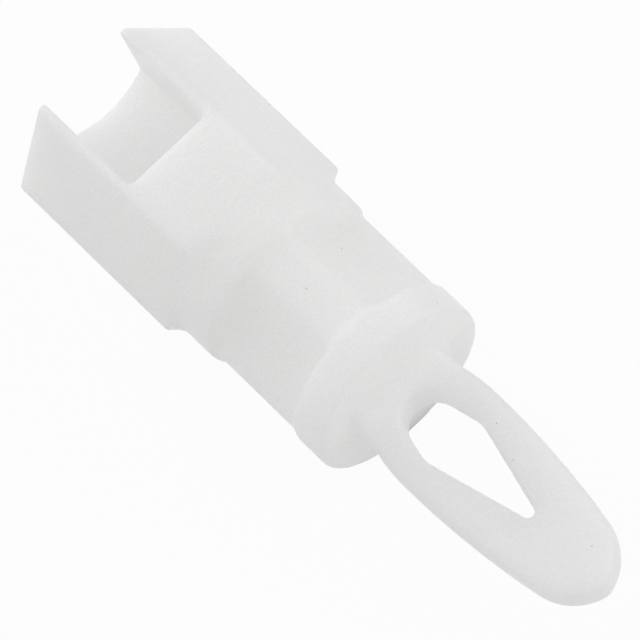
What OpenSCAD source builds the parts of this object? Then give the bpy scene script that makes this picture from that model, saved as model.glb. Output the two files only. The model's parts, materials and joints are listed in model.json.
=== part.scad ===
// Moulded nylon circuit board standoff.
// X runs along the part from the mouth of the hexagon to the nose of the loop.
// Z is square to the hexagon face that holds the channel, and to the flat sides of the loop.

/* [Hexagon sleeve] */
// Distance across the flats of the hexagon
hex_af = 6.35; // [5.8:0.05:8]
// Length of the hexagon along the axis
hex_len = 7.05; // [5.5:0.05:12]
// Rounding along the six long edges
hex_edge_r = 0.15; // [0.1:0.05:0.5]
// Rounding round the mouth of the hexagon
mouth_edge_r = 0.1; // [0.05:0.01:0.2]

/* [Channel] */
// Width of the channel between its straight walls
channel_w = 3.16; // [2:0.02:3.3]
// Length of the channel from the mouth
channel_len = 4.05; // [2:0.05:5]
// Depth of the channel floor below the axis
channel_drop = 0.46; // [0.1:0.02:0.8]
// Radius of the hollow floor of the channel
channel_floor_r = 2.05; // [1.7:0.05:2.4]

/* [Collar] */
// Diameter of the round collar next to the hexagon
collar_d = 6.42; // [6:0.02:7]
// Length of the collar
collar_len = 1.6; // [1:0.05:3]

/* [Waist] */
// Distance across the four flats of the waist
waist_af = 5.25; // [4.8:0.05:5.6]
// Distance across the four narrow lands between those flats
waist_land = 6.02; // [5.9:0.02:6.3]
// Rounding where a land meets a flat
waist_edge_r = 0.5; // [0.1:0.05:0.8]
// Length of the waist
waist_len = 3.8; // [2:0.05:12]

/* [Drum] */
// Diameter of the drum that the circuit board rests on
drum_d = 6.35; // [6:0.02:7]
// Length of the drum
drum_len = 1.3; // [0.8:0.05:3]
// Rounding round the rims of the collar and the drum
rim_r = 0.06; // [0.04:0.01:0.3]

/* [Loop] */
// Width of the neck that stands in the board's hole
neck_w = 3.62; // [3.2:0.02:3.8]
// Greatest width of the loop, just wider than the board's hole
belly_w = 4; // [3.9:0.01:4.4]
// Distance from the board seat to the greatest width
belly_x = 2.4; // [2:0.05:3.5]
// Radius of the swell from the neck to the greatest width
swell_r = 6.4; // [4:0.2:10]
// Length of the loop from the board seat to the tip of the nose
loop_len = 9.44; // [8.4:0.02:12]
// Radius of each cheek of the nose
nose_r = 1.91; // [1.6:0.01:2]
// Distance that each cheek's centre lies across the axis
nose_cross = 0.35; // [0.2:0.01:0.6]
// Thickness of the loop
loop_t = 1.34; // [1:0.02:2]
// Rounding along the outer edges of the loop
loop_edge_r = 0.35; // [0.1:0.01:0.48]
// Radius that hollows the round foot of the loop down to the loop's thickness
foot_r = 0.85; // [0.3:0.05:1]

/* [Eye of the loop] */
// Greatest width of the eye
eye_w = 2.08; // [1.2:0.02:2.4]
// Distance from the board seat to the greatest width of the eye
eye_belly_x = 2.5; // [2.2:0.02:3.2]
// Radius of the rounded end of the eye next to the drum
eye_end_r = 0.82; // [0.3:0.02:1]
// Distance from the board seat to the end of the eye next to the drum
eye_start = 0.68; // [0.4:0.01:1]
// Distance from the board seat to the far end of the eye
eye_end = 6.24; // [4.5:0.02:7]
// Radius of the narrow far end of the eye
eye_tip_r = 0.2; // [0.1:0.01:0.4]

/* [Hidden] */
$fa = 4;
$fs = 0.1;
nylon = "ivory";
collar_x = hex_len;
waist_x = collar_x + collar_len;
drum_x = waist_x + waist_len;
seat_x = drum_x + drum_len;
// Solids that are joined end to end share this much length
lap = 0.2;
// A surface that runs out into another one ends this far under it
sink = 0.005;
// Cutting tools pass through a surface by this much
cut = 1;
// Straight steps that make up each arc of the eye
eye_steps = 16;

// Stands an outline in the YZ plane and gives it a length along X
module along_x(length) {
    rotate([90, 0, 90]) linear_extrude(length) children();
}

// Lays an outline in the XZ plane and gives it a width along Y, centred
module across_y(width) {
    rotate([90, 0, 0]) linear_extrude(width, center = true) children();
}

// Convex outline with every corner rounded to a true arc
module rounded_outline(points, r) {
    count = len(points);
    difference() {
        polygon(points);
        for (i = [0 : count - 1]) {
            corner = points[i];
            back = points[(i + count - 1) % count] - corner;
            ahead = points[(i + 1) % count] - corner;
            to_back = back / norm(back);
            to_ahead = ahead / norm(ahead);
            inward = (to_back + to_ahead) / norm(to_back + to_ahead);
            half = acos(to_back * to_ahead) / 2;
            centre = corner + inward * r / sin(half);
            reach = r / tan(half);
            difference() {
                polygon([corner - inward * r, corner + to_back * reach, centre, corner + to_ahead * reach]);
                translate(centre) circle(r);
            }
        }
    }
}

// Half of the loop's cross-section: a crowned edge that fits a round hole, between two flat sides
module crowned_edge(reach) {
    half = loop_t / 2;
    crown_r = neck_w / 2;
    corner_z = half - loop_edge_r;
    corner_y = reach - crown_r + sqrt(pow(crown_r - loop_edge_r, 2) - pow(corner_z, 2));
    crown_z = crown_r * corner_z / (crown_r - loop_edge_r);
    translate([0, -half]) square([corner_y, loop_t]);
    intersection() {
        translate([reach - crown_r, 0]) circle(crown_r);
        translate([0, -crown_z]) square([reach, 2 * crown_z]);
    }
    for (side = [-1, 1]) translate([corner_y, side * corner_z]) circle(loop_edge_r);
}

// Disc that lies flat, with the crowned edge all round it
module coin(r) {
    rotate_extrude($fa = 1) crowned_edge(r);
}

// The space common to two like coins, one set to each side of the axis by offset
module coin_pair(x, offset, r) {
    intersection_for (side = [-1, 1])
        translate([x, side * offset, 0]) coin(r);
}

// Hexagon with rounded edges round its mouth. Three crossed slabs make its six flats and
// run on past its square end. The prism with the long edges' rounding lies just outside them.
module hexagon_body() {
    corner_r = (hex_af + 2 * sink) / sqrt(3);
    corners = [for (i = [0 : 5]) corner_r * [cos(60 * i), sin(60 * i)]];
    slab_end = hex_len + cut;
    slab = [[0, -hex_af / 2], [slab_end, -hex_af / 2], [slab_end, hex_af / 2], [0, hex_af / 2]];
    intersection() {
        along_x(hex_len) rounded_outline(corners, hex_edge_r);
        intersection_for (turn = [0, 60, 120])
            rotate([turn, 0, 0]) across_y(3 * hex_af) rounded_outline(slab, mouth_edge_r);
    }
}

// Channel with straight walls and a hollow floor, open at the mouth and along one hexagon face
module channel() {
    half = channel_w / 2;
    floor_z = channel_floor_r - channel_drop;
    wall_z = floor_z - sqrt(pow(channel_floor_r, 2) - pow(half, 2));
    translate([-cut, 0, 0]) along_x(channel_len + cut) {
        translate([-half, wall_z]) square([channel_w, hex_af]);
        intersection() {
            translate([0, floor_z]) circle(channel_floor_r);
            translate([-half, -hex_af]) square([channel_w, hex_af + floor_z]);
        }
    }
}

// Round section of the part with rounded rims, from x along the axis
module turned(x, length, d) {
    half = d / 2;
    translate([x, 0, 0]) rotate([0, 90, 0]) rotate_extrude() intersection() {
        rounded_outline([[-half, 0], [half, 0], [half, length], [-half, length]], rim_r);
        square([half, length]);
    }
}

module collar() {
    turned(collar_x, collar_len, collar_d);
}

// Square waist that stands on its corner, with each corner cut back to a narrow land.
// Its prism runs on through the collar, as the core of the part.
module waist() {
    land = waist_land / 2;
    side = waist_af / sqrt(2) - land;
    outline = [
        [land, -side], [land, side], [side, land], [-side, land],
        [-land, side], [-land, -side], [-side, -land], [side, -land],
    ];
    translate([collar_x - lap, 0, 0]) along_x(collar_len + waist_len + 2 * lap)
        rounded_outline(outline, waist_edge_r);
}

module drum() {
    turned(drum_x, drum_len, drum_d);
}

// The stretch of the loop between two distances from the board seat
module stretch(from, to) {
    intersection() {
        children();
        translate([from, -belly_w, -loop_t]) cube([to - from, 2 * belly_w, 2 * loop_t]);
    }
}

// Outer form of the loop: neck, swell, then long flanks that run tangent into the nose
module loop_outer() {
    half = belly_w / 2;
    climb = half - neck_w / 2;
    swell_x = belly_x - sqrt(climb * (2 * swell_r - climb));
    nose_x = loop_len - sqrt(pow(nose_r, 2) - pow(nose_cross, 2));
    run = nose_x - belly_x;
    rise = half + nose_cross;
    flank_r = (pow(run, 2) + pow(rise, 2) - pow(nose_r, 2)) / (2 * (rise - nose_r));
    tangent_x = belly_x + run * flank_r / (flank_r - nose_r);
    translate([-lap, 0, 0]) along_x(swell_x + 2 * lap)
        for (side = [0, 1]) mirror([side, 0]) crowned_edge(neck_w / 2);
    stretch(swell_x - lap, belly_x + lap) coin_pair(belly_x, swell_r - half + sink, swell_r);
    stretch(belly_x + lap / 2, tangent_x) coin_pair(belly_x, flank_r - half, flank_r);
    stretch(tangent_x - lap, loop_len) coin_pair(nose_x, nose_cross + sink, nose_r);
}

// Round foot whose two sides are hollowed down to the thickness of the loop
module loop_foot() {
    foot_d = neck_w + 2 * sink;
    top = loop_t / 2 + foot_r;
    intersection() {
        translate([-lap, 0, 0]) rotate([0, 90, 0]) cylinder(h = foot_r + lap, d = foot_d);
        across_y(2 * foot_d) difference() {
            translate([-lap, -top]) square([foot_r + lap, 2 * top]);
            for (side = [-1, 1]) translate([foot_r, side * (top - sink)]) circle(foot_r);
        }
    }
}

// Points of an arc, from one angle to another
function arc(centre, r, from, to) =
    [for (i = [0 : eye_steps]) centre + r * [cos(from + (to - from) * i / eye_steps),
                                             sin(from + (to - from) * i / eye_steps)]];

// Teardrop eye: a round end, a round belly and a narrow tip, joined by their common tangents
module eye() {
    end_x = eye_start + eye_end_r;
    tip_x = eye_end - eye_tip_r;
    belly_r = eye_w / 2;
    rise = 90 + asin((belly_r - eye_end_r) / (eye_belly_x - end_x));
    fall = 90 - asin((belly_r - eye_tip_r) / (tip_x - eye_belly_x));
    linear_extrude(loop_t + 2 * cut, center = true) polygon(concat(
        arc([end_x, 0], eye_end_r, rise, 360 - rise),
        arc([eye_belly_x, 0], belly_r, 360 - rise, 360 - fall),
        arc([tip_x, 0], eye_tip_r, -fall, fall),
        arc([eye_belly_x, 0], belly_r, fall, rise)
    ));
}

module standoff() {
    color(nylon) difference() {
        union() {
            hexagon_body();
            collar();
            waist();
            drum();
            translate([seat_x, 0, 0]) difference() {
                union() {
                    loop_outer();
                    loop_foot();
                }
                eye();
            }
        }
        channel();
    }
}

standoff();
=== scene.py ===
import json
import math
import bmesh
import bpy
from mathutils import Matrix, Vector


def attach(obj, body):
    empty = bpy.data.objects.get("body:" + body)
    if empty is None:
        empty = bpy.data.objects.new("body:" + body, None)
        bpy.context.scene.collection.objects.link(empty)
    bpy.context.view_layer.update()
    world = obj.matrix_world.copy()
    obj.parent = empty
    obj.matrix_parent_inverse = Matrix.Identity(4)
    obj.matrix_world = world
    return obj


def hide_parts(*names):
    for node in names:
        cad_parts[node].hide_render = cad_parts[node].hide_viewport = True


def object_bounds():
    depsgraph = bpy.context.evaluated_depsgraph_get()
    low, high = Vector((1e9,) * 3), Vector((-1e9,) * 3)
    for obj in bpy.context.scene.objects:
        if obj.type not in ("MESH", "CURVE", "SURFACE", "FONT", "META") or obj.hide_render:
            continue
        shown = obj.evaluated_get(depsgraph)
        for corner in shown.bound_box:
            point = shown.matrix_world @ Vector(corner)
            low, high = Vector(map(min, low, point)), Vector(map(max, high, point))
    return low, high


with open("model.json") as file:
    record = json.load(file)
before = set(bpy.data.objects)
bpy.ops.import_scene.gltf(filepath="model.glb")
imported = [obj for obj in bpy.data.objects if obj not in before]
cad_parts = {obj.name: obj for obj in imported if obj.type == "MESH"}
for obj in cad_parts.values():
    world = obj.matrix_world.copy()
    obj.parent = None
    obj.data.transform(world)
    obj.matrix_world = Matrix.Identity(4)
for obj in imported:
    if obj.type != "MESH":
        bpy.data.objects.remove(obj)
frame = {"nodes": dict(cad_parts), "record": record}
cad_low, cad_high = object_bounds()

# The standoff is one piece of natural nylon, from a mould whose halves part on the plane z = 0.
# The frame gives its exact form. The copy is welded and skinned with small even faces, then eased,
# because nylon shrinks as it sets and leaves every edge and inner corner a little soft.
MM = 0.001
WELD = 0.01 * MM
SEAT_RIM = 0.065 * MM
SEAT_RIDGE = 0.05 * MM
SEAT_DRAFT = math.tan(math.radians(2.0))
SKIN_GRAIN = 0.1 * MM
EASING_PASSES = 5

mounts = {mount["name"]: mount for mount in frame["record"]["mounts"]}
seat_x = mounts["board_seat"]["pos_m"][0]

standoff_mesh = frame["nodes"]["standoff"].data.copy()
shape = bmesh.new()
shape.from_mesh(standoff_mesh)
bmesh.ops.remove_doubles(shape, verts=shape.verts, dist=WELD)
everything = shape.verts[:] + shape.edges[:] + shape.faces[:]
bmesh.ops.bisect_plane(shape, geom=everything, dist=WELD, plane_co=(0, 0, 0), plane_no=(0, 0, 1))
# Draft gives the board seat a faint ridge along the parting plane, and the seat's rim goes with it.
for vert in shape.verts:
    if abs(vert.co.x - seat_x) < SEAT_RIM:
        vert.co.x += SEAT_RIDGE - abs(vert.co.z) * SEAT_DRAFT
shape.to_mesh(standoff_mesh)
shape.free()
standoff = bpy.data.objects.new("nylon_standoff", standoff_mesh)
bpy.context.scene.collection.objects.link(standoff)
skin = standoff.modifiers.new("even skin", "REMESH")
skin.mode = "VOXEL"
skin.voxel_size = SKIN_GRAIN
skin.use_smooth_shade = True
easing = standoff.modifiers.new("eased edges", "SMOOTH")
easing.factor = 0.5
easing.iterations = EASING_PASSES

NYLON_TONE = 0.998
NYLON_DULL_TONE = 0.95
NYLON_WARMTH = 0.995
NYLON_REACH = 3.0 * MM
MOTTLE_SIZE = 0.08 * MM
MOTTLE_HEIGHT = 0.015 * MM
MOTTLE_LOW = 0.42
MOTTLE_HIGH = 0.58
CLOUD_SIZE = 0.5 * MM
CLOUD_SHARE = 0.3
SPECK_TONE = 0.62
SPECK_RADIUS = 0.055 * MM
LOOP_SPECKS_MM = ((17.02, 1.25, 0.67), (18.26, 0.79, 0.67), (22.02, 0.57, 0.67))
BODY_SPECKS_MM = ((9.95, 1.65, 2.06), (13.38, 2.49, 1.96), (10.54, -0.08, 3.01))
PARTING_HALF_WIDTH = 0.04 * MM
PARTING_HEIGHT = 0.03 * MM
PARTING_INNER_Y = 1.7 * MM
SOFT_EDGE = 0.3 * MM
SOFT_EDGE_RAYS = 6

nylon = bpy.data.materials.new("natural nylon")
nylon.use_nodes = True
nodes = nylon.node_tree.nodes
links = nylon.node_tree.links
surface = nodes["Principled BSDF"]
surface.inputs["Roughness"].default_value = 0.5
surface.inputs["IOR"].default_value = 1.53
surface.inputs["Specular IOR Level"].default_value = 0.7
surface.inputs["Subsurface Weight"].default_value = 1.0
surface.inputs["Subsurface Radius"].default_value = (1.0, 0.95, 0.85)
surface.inputs["Subsurface Scale"].default_value = NYLON_REACH
where = nodes.new("ShaderNodeTexCoord")

# The tone varies a little: a fine mottle over broader clouds.
mottle = nodes.new("ShaderNodeTexNoise")
mottle.inputs["Scale"].default_value = 1 / MOTTLE_SIZE
mottle.inputs["Detail"].default_value = 1.0
clouds = nodes.new("ShaderNodeTexNoise")
clouds.inputs["Scale"].default_value = 1 / CLOUD_SIZE
clouds.inputs["Detail"].default_value = 2.0
both = nodes.new("ShaderNodeMix")
both.data_type = "FLOAT"
both.inputs["Factor"].default_value = CLOUD_SHARE
contrast = nodes.new("ShaderNodeMapRange")
contrast.inputs["From Min"].default_value = MOTTLE_LOW
contrast.inputs["From Max"].default_value = MOTTLE_HIGH
tone = nodes.new("ShaderNodeMixRGB")
tone.inputs["Color1"].default_value = (NYLON_DULL_TONE, NYLON_DULL_TONE, NYLON_DULL_TONE * NYLON_WARMTH, 1)
tone.inputs["Color2"].default_value = (NYLON_TONE, NYLON_TONE, NYLON_TONE * NYLON_WARMTH, 1)
links.new(where.outputs["Object"], mottle.inputs["Vector"])
links.new(where.outputs["Object"], clouds.inputs["Vector"])
links.new(mottle.outputs["Fac"], both.inputs["A"])
links.new(clouds.outputs["Fac"], both.inputs["B"])
links.new(both.outputs["Result"], contrast.inputs["Value"])
links.new(contrast.outputs["Result"], tone.inputs["Fac"])

# A few dark specks are moulded in. Each is a small ball of darker tone that the surface cuts through.
colour = tone
for place in LOOP_SPECKS_MM + BODY_SPECKS_MM:
    distance = nodes.new("ShaderNodeVectorMath")
    distance.operation = "DISTANCE"
    distance.inputs[1].default_value = Vector(place) * MM
    inside = nodes.new("ShaderNodeMapRange")
    inside.interpolation_type = "SMOOTHSTEP"
    inside.inputs["From Min"].default_value = SPECK_RADIUS
    inside.inputs["From Max"].default_value = 0.0
    speck = nodes.new("ShaderNodeMixRGB")
    speck.inputs["Color2"].default_value = (SPECK_TONE, SPECK_TONE, SPECK_TONE, 1)
    links.new(where.outputs["Object"], distance.inputs[0])
    links.new(distance.outputs["Value"], inside.inputs["Value"])
    links.new(inside.outputs["Result"], speck.inputs["Fac"])
    links.new(colour.outputs["Color"], speck.inputs["Color1"])
    colour = speck
links.new(colour.outputs["Color"], surface.inputs["Base Color"])

# The parting line is a fine ridge on the plane z = 0, clear of the walls of the channel and the eye.
along = nodes.new("ShaderNodeSeparateXYZ")
from_parting = nodes.new("ShaderNodeMath")
from_parting.operation = "ABSOLUTE"
flash = nodes.new("ShaderNodeMapRange")
flash.interpolation_type = "SMOOTHSTEP"
flash.inputs["From Min"].default_value = PARTING_HALF_WIDTH
flash.inputs["From Max"].default_value = 0.0
from_axis = nodes.new("ShaderNodeMath")
from_axis.operation = "ABSOLUTE"
outside = nodes.new("ShaderNodeMath")
outside.operation = "GREATER_THAN"
outside.inputs[1].default_value = PARTING_INNER_Y
outer_flash = nodes.new("ShaderNodeMath")
outer_flash.operation = "MULTIPLY"
links.new(where.outputs["Object"], along.inputs["Vector"])
links.new(along.outputs["Z"], from_parting.inputs[0])
links.new(from_parting.outputs["Value"], flash.inputs["Value"])
links.new(along.outputs["Y"], from_axis.inputs[0])
links.new(from_axis.outputs["Value"], outside.inputs[0])
links.new(flash.outputs["Result"], outer_flash.inputs[0])
links.new(outside.outputs["Value"], outer_flash.inputs[1])

# The edges look softer than they are, because light spreads inside the nylon. The ridge and the
# mottle stand on those soft edges.
soft_edges = nodes.new("ShaderNodeBevel")
soft_edges.samples = SOFT_EDGE_RAYS
soft_edges.inputs["Radius"].default_value = SOFT_EDGE
parting_bump = nodes.new("ShaderNodeBump")
parting_bump.inputs["Distance"].default_value = PARTING_HEIGHT
mottle_bump = nodes.new("ShaderNodeBump")
mottle_bump.inputs["Distance"].default_value = MOTTLE_HEIGHT
links.new(soft_edges.outputs["Normal"], parting_bump.inputs["Normal"])
links.new(outer_flash.outputs["Value"], parting_bump.inputs["Height"])
links.new(parting_bump.outputs["Normal"], mottle_bump.inputs["Normal"])
links.new(mottle.outputs["Fac"], mottle_bump.inputs["Height"])
links.new(mottle_bump.outputs["Normal"], surface.inputs["Normal"])

standoff_mesh.materials.clear()
standoff_mesh.materials.append(nylon)
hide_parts("standoff")
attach(standoff, "root")

# The table is a wide white sheet under the part, and it keeps the part's soft shadow.
# Seen directly, most of its tone is a plain white of its own, as in a catalogue picture.
SHEET_SIZE = 3.0
SHEET_TONE = 0.98
SHEET_GLOW = 0.92

sheet_mesh = bpy.data.meshes.new("white sheet")
sheet_shape = bmesh.new()
bmesh.ops.create_grid(sheet_shape, x_segments=1, y_segments=1, size=SHEET_SIZE / 2)
bmesh.ops.translate(sheet_shape, verts=sheet_shape.verts, vec=(0, 0, cad_low.z))
sheet_shape.to_mesh(sheet_mesh)
sheet_shape.free()
white_sheet = bpy.data.objects.new("white_sheet", sheet_mesh)
bpy.context.scene.collection.objects.link(white_sheet)

sheet_white = bpy.data.materials.new("white sheet")
sheet_white.use_nodes = True
nodes = sheet_white.node_tree.nodes
links = sheet_white.node_tree.links
paper = nodes["Principled BSDF"]
paper.inputs["Base Color"].default_value = (SHEET_TONE, SHEET_TONE, SHEET_TONE, 1)
paper.inputs["Roughness"].default_value = 0.9
paper.inputs["Specular IOR Level"].default_value = 0.0
glow = nodes.new("ShaderNodeEmission")
glow.inputs["Strength"].default_value = 1.0
rays = nodes.new("ShaderNodeLightPath")
seen = nodes.new("ShaderNodeMath")
seen.operation = "MAXIMUM"
share = nodes.new("ShaderNodeMath")
share.operation = "MULTIPLY"
share.inputs[1].default_value = SHEET_GLOW
mixed = nodes.new("ShaderNodeMixShader")
links.new(rays.outputs["Is Camera Ray"], seen.inputs[0])
links.new(rays.outputs["Is Glossy Ray"], seen.inputs[1])
links.new(seen.outputs[0], share.inputs[0])
links.new(share.outputs[0], mixed.inputs["Fac"])
links.new(paper.outputs["BSDF"], mixed.inputs[1])
links.new(glow.outputs["Emission"], mixed.inputs[2])
links.new(mixed.outputs["Shader"], nodes["Material Output"].inputs["Surface"])
sheet_mesh.materials.append(sheet_white)

# The light is a white tent: an even glow from all round, with three low soft panels that model the
# form a little, to the right of the picture, past the hexagon's mouth and on the near side.
TENT_LEVEL = 0.635
TENT_WHITE = 1.0
RIGHT_WATTS = 0.38
MOUTH_WATTS = 0.6
NEAR_WATTS = 0.08
PANEL_DISTANCE = 0.5
PANEL_SIZE = 0.35
PANEL_RISE = math.radians(20)

tent = bpy.data.worlds.new("white tent")
bpy.context.scene.world = tent
tent.use_nodes = True
nodes = tent.node_tree.nodes
links = tent.node_tree.links
background = nodes["Background"]
background.inputs["Color"].default_value = (1, 1, 1, 1)
rays = nodes.new("ShaderNodeLightPath")
direct = nodes.new("ShaderNodeMath")
direct.operation = "MAXIMUM"
white = nodes.new("ShaderNodeMath")
white.operation = "MAXIMUM"
level = nodes.new("ShaderNodeMapRange")
level.inputs["To Min"].default_value = TENT_LEVEL
level.inputs["To Max"].default_value = TENT_WHITE
links.new(rays.outputs["Is Camera Ray"], direct.inputs[0])
links.new(rays.outputs["Is Transmission Ray"], direct.inputs[1])
links.new(direct.outputs[0], white.inputs[0])
links.new(rays.outputs["Is Glossy Ray"], white.inputs[1])
links.new(white.outputs[0], level.inputs["Value"])
links.new(level.outputs["Result"], background.inputs["Strength"])


def soft_panel(name, turn, watts):
    data = bpy.data.lights.new(name, "AREA")
    data.shape = "SQUARE"
    data.size = PANEL_SIZE
    data.energy = watts
    panel = bpy.data.objects.new(name, data)
    bpy.context.scene.collection.objects.link(panel)
    level_part = math.cos(PANEL_RISE)
    aim = Vector((math.cos(turn) * level_part, math.sin(turn) * level_part, math.sin(PANEL_RISE)))
    panel.location = aim * PANEL_DISTANCE
    panel.rotation_mode = "QUATERNION"
    panel.rotation_quaternion = aim.to_track_quat("Z", "Y")
    panel.visible_camera = False


soft_panel("right panel", math.radians(60), RIGHT_WATTS)
soft_panel("mouth panel", math.radians(180), MOUTH_WATTS)
soft_panel("near panel", math.radians(330), NEAR_WATTS)

# The camera is a long lens, a quarter of a metre away, that looks down on the part
# with the loop towards the lower right corner of the picture.
PICTURE_RIGHT = Vector((0.6595, 0.7231, -0.2055))
TOWARDS_CAMERA = Vector((0.4014, -0.1076, 0.9095))
CAMERA_REACH = 264.8 * MM
CAMERA_ASIDE = 6.680 * MM
CAMERA_DOWN = 6.618 * MM
SENSOR_MM = 36
LENS_MM = 481.4

back = TOWARDS_CAMERA.normalized()
right = (PICTURE_RIGHT - back * PICTURE_RIGHT.dot(back)).normalized()
up = back.cross(right)
camera_place = right * CAMERA_ASIDE - up * CAMERA_DOWN + back * CAMERA_REACH
camera_data = bpy.data.cameras.new("camera")
camera_data.sensor_width = SENSOR_MM
camera_data.lens = LENS_MM
camera_data.clip_start = 0.01
camera_data.clip_end = 10
camera = bpy.data.objects.new("camera", camera_data)
bpy.context.scene.collection.objects.link(camera)
facing = Matrix((right, up, back)).transposed()
camera.matrix_world = Matrix.Translation(camera_place) @ facing.to_4x4()
bpy.context.scene.camera = camera

bpy.context.scene.view_settings.view_transform = "Standard"
